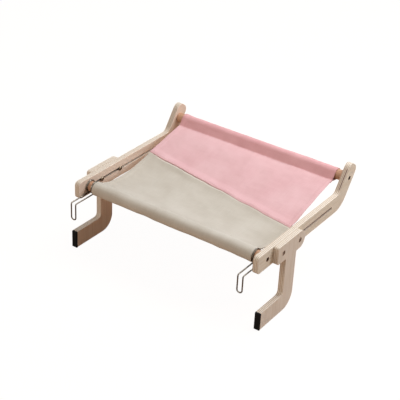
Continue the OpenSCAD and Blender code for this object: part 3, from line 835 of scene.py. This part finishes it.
# Height, place behind the folded edge and width of the puffs between the two rows of stitches
PUFF, PUFF_AT, PUFF_W, PUFF_SPACING = 1.1 * MM, 5.8 * MM, 2.6 * MM, 26 * MM
PUFF_EVEN = 0.6                          # share of a puff that is there everywhere
ROLL, ROLL_AT, ROLL_W = 0.3 * MM, 1.3 * MM, 1.5 * MM          # and of the roll at the edge itself
PRESSED = 0.3 * MM                       # how much thinner the lap is where it is pressed flat
RIDGE, RIDGE_AT, RIDGE_W, RIDGE_SPACING = 0.4 * MM, 2.5 * MM, 1.25 * MM, 30 * MM
RIDGE_EVEN, RIDGE_LEFTWARD, RIDGE_CHANCE = 0.6, 0.35, 0.8    # shares of its height


def sheet_z(x, y):
    """Height of the open sheet between its stitch lines: fuller towards the front and along the middle, with
    a low welt along the seam."""
    s = between((y - sheet_front.x) / (sheet_rear.x - sheet_front.x), 0, 1)
    sag = MIDDLE_SAG + (EDGE_SAG - MIDDLE_SAG) * (x / SLEEVE_HALF) ** 2
    off_crest = y - seam_y(x) + WELT_LEAD
    high = WELT * (WELT_LEAST + (1 - WELT_LEAST) * bell(x - WELT_X, WELT_LENGTH))
    welt = high * bell(off_crest, WELT_FRONT if off_crest < 0 else WELT_BEHIND)
    chord = sheet_front.y + (sheet_rear.y - sheet_front.y) * s
    return chord - sag * 4 * s * (1 - s) * (1 + SAG_LEAN * (1 - 2 * s)) + welt


def lap_lift(x, y):
    """How far the pink panel lies above the sheet: one layer on the lap, and nothing behind it."""
    behind, full = y - seam_y(x), fullness(x)
    reach = ROUND_PRESSED + (ROUND_FULL - ROUND_PRESSED) * full
    rounding = 1 - math.sqrt(1 - between(1 - behind / reach, 0, 1) ** 2)
    puff = PUFF * (PUFF_EVEN + ripple(x, PUFF_SPACING, 9, 2)) * bell(behind - PUFF_AT, PUFF_W)
    roll = ROLL * full * bell(behind - ROLL_AT, ROLL_W)
    layer = (LAYER - PRESSED * (1 - full)) * (1 - ramp(behind, SEAM_LAP, SEAM_LAP + SETTLE))
    return layer + roll + max(0, puff) - EDGE_DROP * rounding


def ridge(x, y):
    """How far the beige cloth is pushed up just in front of the seam, most at its left end."""
    share = RIDGE_EVEN - RIDGE_LEFTWARD * x / SLEEVE_HALF + RIDGE_CHANCE * ripple(x, RIDGE_SPACING, 1, 4)
    return RIDGE * max(0, share) * bell(y - seam_y(x) + RIDGE_AT, RIDGE_W)


print("middle of the sheet, mm:", round(sheet_z(0, (sheet_front.x + sheet_rear.x) / 2) / MM, 1))

# %% [markdown]
# ## Paths of the cloth
# Seen from the side, each column of a panel is one path. The beige path starts at the hem under its sleeve,
# goes round the front dowel and runs back to the seam. The pink one starts at the seam, runs back to the
# rear dowel and goes round it to its hem. Rows are close together at the seam, where the form is finest.

# %% Rows round a dowel
STRAIGHT_ROWS, ROUND_ROWS, HEM_ROWS = 8, 40, 4


def touch(centre, r, p, side):
    """Direction from a circle's centre to where a line through p touches it."""
    v = p - centre
    return math.atan2(v.y, v.x) + side * math.acos(r / v.length)


def on_circle(centre, r, angle):
    return centre + r * Vector((math.cos(angle), math.sin(angle)))


def steps(start, end, count):
    """Evenly spaced values from start to end, both included."""
    return [start + (end - start) * k / count for k in range(count + 1)]


def sleeve_rows(centre, r, first, last):
    """Rows from one place straight to a circle, round it and straight to another place."""
    start = touch(centre, r, first, -1) + math.tau
    end = touch(centre, r, last, 1)
    rows = [first.lerp(on_circle(centre, r, start), t) for t in steps(0, 1, STRAIGHT_ROWS)[:-1]]
    rows += [on_circle(centre, r, angle) for angle in steps(start, end, ROUND_ROWS)]
    return rows + [on_circle(centre, r, end).lerp(last, t) for t in steps(0, 1, STRAIGHT_ROWS)[1:]]


# %% Paths of the two panels
RIDGE_ZONE = (5 * MM, 1 * MM)        # before and behind the folded edge
BEIGE_ROWS, RIDGE_ROWS, BEIGE_LAP_ROWS = 66, 12, 5
PINK_LAP_ROWS, SETTLE_ROWS, PINK_ROWS = 14, 8, 72
FOLD_ROWS_MM = (0, 0.15, 0.4, 0.8)   # behind the folded edge, close together on its round


def sheet_rows(x, ys, lift):
    return [Vector((y, sheet_z(x, y) + lift(x, y))) for y in ys]


def level(height):
    """A lift that is the same everywhere."""
    return lambda x, y: height


def front_path(x):
    """Beige panel: hem, round the front dowel, back to the seam."""
    under = sheet_front - Vector((0, LAYER))
    rows = sheet_rows(x, steps(sheet_front.x + SLEEVE_HEM, sheet_front.x, HEM_ROWS)[:-1], level(-LAYER))
    rows += sleeve_rows(sleeve_centre, FRONT_SLEEVE_R, under, sheet_front)
    seam = seam_y(x)
    zone_start, zone_end = seam - RIDGE_ZONE[0], seam + RIDGE_ZONE[1]
    ys = steps(sheet_front.x, zone_start, BEIGE_ROWS)[1:]
    ys += steps(zone_start, zone_end, RIDGE_ROWS)[1:]
    return rows + sheet_rows(x, ys + steps(zone_end, seam + SEAM_LAP, BEIGE_LAP_ROWS)[1:], ridge)


def rear_path(x):
    """Pink panel: seam, back to the rear dowel and round it to its hem."""
    under = sheet_rear - Vector((0, LAYER))
    lap_end = seam_y(x) + SEAM_LAP
    ys = [seam_y(x) + distance * MM for distance in FOLD_ROWS_MM]
    ys += steps(ys[-1], lap_end, PINK_LAP_ROWS)[1:]
    ys += steps(lap_end, lap_end + SETTLE, SETTLE_ROWS)[1:]
    rows = sheet_rows(x, ys + steps(ys[-1], sheet_rear.x, PINK_ROWS)[1:-1], lap_lift)
    rows += sleeve_rows(rear_axis, CLOTH_LIFT, sheet_rear, under)
    return rows + sheet_rows(x, steps(sheet_rear.x, sheet_rear.x - SLEEVE_HEM, HEM_ROWS)[1:], level(-LAYER))


print("rows of a column:", len(front_path(0)), "and", len(rear_path(0)))

# %% [markdown]
# ## Folds and unevenness
# Sewn cloth is never even. Its hems are folded, so they are thicker, each row of stitches pulls a small dent,
# and the sheet has broad low waves, drag lines that run slantwise from the seam and puckers along the
# stitching. All of it is moved into the mesh, because a bump in the material would not change the outline.

# %% Thickness and unevenness of the cloth
STITCH_IN = 2 * MM                   # from a folded edge to its stitches
HEM_STITCH_IN = 1 * MM               # from a side hem's raw edge to its stitches
HEM_STEP, LAP_STEP = 1.2 * MM, 1.5 * MM      # over which the fold's thickness goes
ROLL_T = 0.35 * MM                   # how much thicker the seam's roll is
EDGE_SHARE = 0.2                     # share of the thickness that is left at an edge's very end
DENT, DENT_W = 0.2 * MM, 0.7 * MM    # depth and width of the dent along a row of stitches
WAVES = ((1 * MM, 85 * MM), (1.2 * MM, 34 * MM), (0.35 * MM, 15 * MM))    # height and spacing
# Height, width, length and slant of the drag lines, and how far from the seam they reach
DRAG, DRAG_W, DRAG_LENGTH, DRAG_SLANT, DRAG_REACH = 0.7 * MM, 15 * MM, 60 * MM, 0.8, 22 * MM
# Height, width and length of the puckers, and how far from a sleeve's stitches they reach
PUCKER, PUCKER_W, PUCKER_LENGTH, PUCKER_REACH_OUT = 0.8 * MM, 9 * MM, 40 * MM, 10 * MM
NOISE_LANE = 7
HEM_TURN_ROW, HEM_TURN_ROWS = 8, 4   # the row where the unevenness turns over, and rows to either side


def half_thickness(x, from_fold):
    """Half of the cloth's thickness. Hems are folded, so they are thicker, and a folded edge is round."""
    from_side = SLEEVE_HALF - abs(x)
    side = 1 - ramp(from_side, SIDE_HEM, SIDE_HEM + HEM_STEP)
    full = fullness(x)
    lap = (1 + full) / 2 * (1 - ramp(from_fold, SEAM_LAP - LAP_STEP, SEAM_LAP))
    half = (CANVAS_T + FOLD_T * max(side, lap)) / 2 + ROLL_T * full * bell(from_fold - ROLL_AT, ROLL_W)
    off_rows = from_side - SIDE_HEM + HEM_STITCH_IN, from_fold - STITCH_IN, from_fold - SEAM_LAP + STITCH_IN
    half -= sum(DENT * bell(off_row, DENT_W) for off_row in off_rows)
    edge = min(from_side, from_fold)
    return half * math.sqrt(max(EDGE_SHARE ** 2, 1 - max(0, 1 - edge / half) ** 2))


def unevenness(point):
    """How far the cloth stands off its smooth shape, but never into a dowel."""
    side = Vector((point.y, point.z))
    near = sum(bell((side - line).length, PUCKER_REACH_OUT) for line in (sheet_front, sheet_rear))
    at_seam = bell(point.y - seam_y(point.x), DRAG_REACH)
    drag = Vector((
        (point.x - DRAG_SLANT * point.y) / DRAG_W,
        (point.y + DRAG_SLANT * point.x) / DRAG_LENGTH,
        NOISE_LANE,
    ))
    puckers = Vector((point.x / PUCKER_W, point.y / PUCKER_LENGTH, NOISE_LANE))
    offset = sum(height * noise.noise(point / spacing) for height, spacing in WAVES)
    offset += DRAG * at_seam * noise.noise(drag) + PUCKER * near * noise.noise(puckers)
    room = min((side - axis).length for axis in (front_axis, rear_axis)) - dowel_r - CANVAS_T / 2
    return max(offset, -max(0, room))


def hem_turn(row):
    """Which way the unevenness goes, by the rows from the hem, which faces down but follows the sheet."""
    return between((row - HEM_TURN_ROW) / HEM_TURN_ROWS, -1, 1)


print("cloth and folded hem, mm:", round(CANVAS_T / MM, 2), round((CANVAS_T + FOLD_T) / MM, 2))

# %% [markdown]
# ## Cloth from columns of places
# A grid of places is the middle of the cloth. Each place is moved by the unevenness and then by half the
# thickness to either side, which gives an upper and a lower face. Both are joined all round, so that the
# cloth is a closed body with a real thickness.

# %% Columns, faces and layers
SIDE_COLUMNS_MM = (0, 0.15, 0.4, 0.8, 2.5, 5, 7.4, 8, 8.6, 9.4, 10.2)   # close at the edge and the hem's end
COLUMNS = 130
LEVEL_FROM = 6                       # the pink rows before it are the round of the fold, with one direction
NO_FOLD = 1                          # as far from a folded edge as makes no difference


def column_places():
    """Where the columns are across the sling."""
    xs = [offset * MM - SLEEVE_HALF for offset in SIDE_COLUMNS_MM]
    return xs + steps(xs[-1], -xs[-1], COLUMNS)[1:-1] + [-x for x in reversed(xs)]


def lengths_along(rows):
    """Length of the cloth from its first row to each row."""
    lengths = [0]
    for a, b in zip(rows, rows[1:]):
        lengths.append(lengths[-1] + (b - a).length)
    return lengths


def two_layers(xs, grid, lengths, seam_first):
    """The places of the cloth's upper and lower face, column by column."""
    n, m = len(grid), len(grid[0])
    upper, lower = [], []
    for i in range(n):
        for j in range(m):
            k = max(j, LEVEL_FROM) if seam_first else j
            along = grid[i][min(k + 1, m - 1)] - grid[i][max(k - 1, 0)]
            across = grid[min(i + 1, n - 1)][j] - grid[max(i - 1, 0)][j]
            normal = across.cross(along).normalized()
            turn = hem_turn(m - 1 - j if seam_first else j)
            middle = grid[i][j] + normal * unevenness(grid[i][j]) * turn
            half = half_thickness(xs[i], lengths[i][j] if seam_first else NO_FOLD)
            upper.append(middle + half * normal)
            lower.append(middle - half * normal)
    return upper, lower


def closed_faces(n, m):
    """Faces of two layers of n columns and m rows, joined all round."""
    def at(layer, i, j):
        return (layer * n + i) * m + j

    faces = []
    for i in range(n - 1):
        for j in range(m - 1):
            faces.append((at(0, i, j), at(0, i + 1, j), at(0, i + 1, j + 1), at(0, i, j + 1)))
            faces.append((at(1, i, j), at(1, i, j + 1), at(1, i + 1, j + 1), at(1, i + 1, j)))
    for i in range(n - 1):
        faces.append((at(0, i, 0), at(1, i, 0), at(1, i + 1, 0), at(0, i + 1, 0)))
        faces.append((at(0, i, m - 1), at(0, i + 1, m - 1), at(1, i + 1, m - 1), at(1, i, m - 1)))
    for j in range(m - 1):
        faces.append((at(0, 0, j), at(0, 0, j + 1), at(1, 0, j + 1), at(1, 0, j)))
        faces.append((at(0, n - 1, j), at(1, n - 1, j), at(1, n - 1, j + 1), at(0, n - 1, j + 1)))
    return faces


# %% The two panels
def panel(name, path, material, seam_first):
    """A sewn panel with its two maps in metres: the piece, its flat area and its columns' lengths."""
    xs = column_places()
    sides = [path(x) for x in xs]
    grid = [[Vector((x, p.x, p.y)) for p in rows] for x, rows in zip(xs, sides)]
    lengths = [lengths_along(rows) for rows in sides]
    upper, lower = two_layers(xs, grid, lengths, seam_first)
    weave_places, seam_places = [], []
    for x, run in zip(xs, lengths):
        whole = run[-1]
        for length in run:
            weave_places.append((x, whole - length if seam_first else length))
            seam_places.append((x, length if seam_first else length + SEAM_LAP - whole))
    n, m = len(grid), len(grid[0])
    data = bpy.data.meshes.new(name)
    data.from_pydata(upper + lower, [], closed_faces(n, m))
    for map_name, places in ((WEAVE_MAP, weave_places), (SEAM_MAP, seam_places)):
        layer = data.uv_layers.new(name=map_name)
        for loop in data.loops:
            layer.data[loop.index].uv = places[loop.vertex_index % (n * m)]
    data.materials.append(material)
    data.shade_smooth()
    area = sum(
        (grid[i + 1][j] - grid[i][j]).cross(grid[i][j + 1] - grid[i][j]).length
        for i in range(n - 1) for j in range(m - 1))
    return new_object(name, data), area, [run[-1] for run in lengths]


beige, beige_area, beige_lengths = panel("beige_canvas", front_path, beige_canvas, seam_first=False)
pink, pink_area, pink_lengths = panel("pink_canvas", rear_path, pink_canvas, seam_first=True)
for piece, area, lengths in ((beige, beige_area, beige_lengths), (pink, pink_area, pink_lengths)):
    print(piece.name, "area, m2:", round(area, 5),
          "lengths, mm:", [round(v / MM, 1) for v in (lengths[0], lengths[-1])])

# %% [markdown]
# ## Stitching
# Every hem is held by a row of lock stitches and the seam by two rows. Each stitch is a short thread that
# lies in a small dent of the cloth. A row is given by the places that it passes from one end to the other,
# seen from above, and the stitches follow the sheet's height there, above and below the cloth.

# %% One row of stitches
STITCH, STITCH_GAP = 2.7 * MM, 1.0 * MM
THREAD_R, THREAD_PROUD = 0.3 * MM, 0.05 * MM
PROBE = 0.5 * MM                     # how far to either side the sheet's slope is measured
BEAD_SEGMENTS = 6


def on_cloth(x, y, lift, from_fold, side):
    """A place on the upper (side 1) or lower (side -1) face of the open sheet, and the direction off it."""
    across = Vector((2 * PROBE, 0, sheet_z(x + PROBE, y) - sheet_z(x - PROBE, y)))
    along = Vector((0, 2 * PROBE, sheet_z(x, y + PROBE) - sheet_z(x, y - PROBE)))
    normal = across.cross(along).normalized()
    flat = Vector((x, y, sheet_z(x, y) + lift))
    return flat + normal * (unevenness(flat) + side * half_thickness(x, from_fold)), side * normal


def bead():
    """Corners and faces of a small round bead, which each stitch stretches along its thread."""
    mesh = bmesh.new()
    bmesh.ops.create_uvsphere(mesh, u_segments=BEAD_SEGMENTS, v_segments=BEAD_SEGMENTS, radius=1,
                              matrix=Matrix.Rotation(math.pi / 2, 4, "Y"))
    corners = [vert.co.copy() for vert in mesh.verts]
    sides = [[vert.index for vert in face.verts] for face in mesh.faces]
    mesh.free()
    return corners, sides


def stitching(name, rows, material):
    """One mesh of stitches.

    A row is (place, lift, from_fold, side), and place(t) gives its (x, y) for t from 0 to 1."""
    corners, sides = bead()
    verts, faces = [], []
    half = 0.5 * STITCH / (STITCH + STITCH_GAP)
    for place, lift, from_fold, side in rows:
        count = int((Vector(place(1)) - Vector(place(0))).length / (STITCH + STITCH_GAP))
        for k in range(count):
            ends = [place((k + share) / count) for share in (0.5 - half, 0.5 + half)]
            (a, off), (b, _) = (on_cloth(x, y, lift(x, y), from_fold, side) for x, y in ends)
            run, middle = (b - a) / 2, (a + b) / 2 + off * THREAD_PROUD
            across = THREAD_R * off.cross(run).normalized()
            faces += [[len(verts) + corner for corner in side_corners] for side_corners in sides]
            verts += [middle + c.x * run + c.y * across + c.z * THREAD_R * off for c in corners]
    data = bpy.data.meshes.new(name)
    data.from_pydata(verts, [], faces)
    data.shade_smooth()
    data.materials.append(material)
    piece = new_object(name, data)
    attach(piece, "frame")
    return piece


# %% Rows of stitches
FRONT_ROW_IN, REAR_ROW_IN = 1.2 * MM, 2 * MM      # from the sheet's ends to the sleeves' stitches
SIDE_ROW_IN, SIDE_ROW_GAP = 3 * MM, 1 * MM        # side rows stop short of the sleeves and of the seam


def sideways(y):
    """Places from one side of the sling to the other, at the depth y(x)."""
    reach = SLEEVE_HALF - STITCH_IN
    return lambda t: ((2 * t - 1) * reach, y((2 * t - 1) * reach))


def along_seam(inset):
    return sideways(lambda x: seam_y(x) + inset)


def back_along(x, first, last):
    """Places along a side hem."""
    return lambda t: (x, first + (last - first) * t)


hem_x = SLEEVE_HALF - SIDE_HEM + HEM_STITCH_IN
beige_rows, pink_rows = [], []
for side, lift in ((1, level(0)), (-1, level(-LAYER))):
    beige_rows.append((sideways(lambda x: sheet_front.x + FRONT_ROW_IN), lift, NO_FOLD, side))
    pink_rows.append((sideways(lambda x: sheet_rear.x - REAR_ROW_IN), lift, NO_FOLD, side))
for x in (-hem_x, hem_x):
    beige_end, pink_start = seam_y(x) - SIDE_ROW_GAP, seam_y(x) + SEAM_LAP
    beige_rows.append((back_along(x, sheet_front.x + SIDE_ROW_IN, beige_end), ridge, NO_FOLD, 1))
    pink_rows.append((back_along(x, pink_start, sheet_rear.x - SIDE_ROW_IN), lap_lift, NO_FOLD, 1))
for inset in (STITCH_IN, SEAM_LAP - STITCH_IN):
    pink_rows.append((along_seam(inset), lap_lift, inset, 1))
    beige_rows.append((along_seam(inset), ridge, NO_FOLD, -1))
beige_stitches = stitching("beige_stitching", beige_rows, beige_thread)
pink_stitches = stitching("pink_stitching", pink_rows, pink_thread)
print("faces of the stitches:", len(beige_stitches.data.polygons), len(pink_stitches.data.polygons))

# %% [markdown]
# ## The sheets
# A sewn panel was once a flat piece of cloth. Each panel rides on the frame's body in place of the model's
# plain canvas node, which is hidden.

SHEETS = (
    (beige, "front_canvas_panel", "beige_canvas", beige_lengths, beige_area, ["front_dowel"], beige_stitches),
    (pink, "rear_canvas_panel", "pink_canvas", pink_lengths, pink_area, ["rear_dowel", beige], pink_stitches),
)
for piece, node, finish, lengths, area, rests_on, threads in SHEETS:
    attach(piece, "frame")
    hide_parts(node)
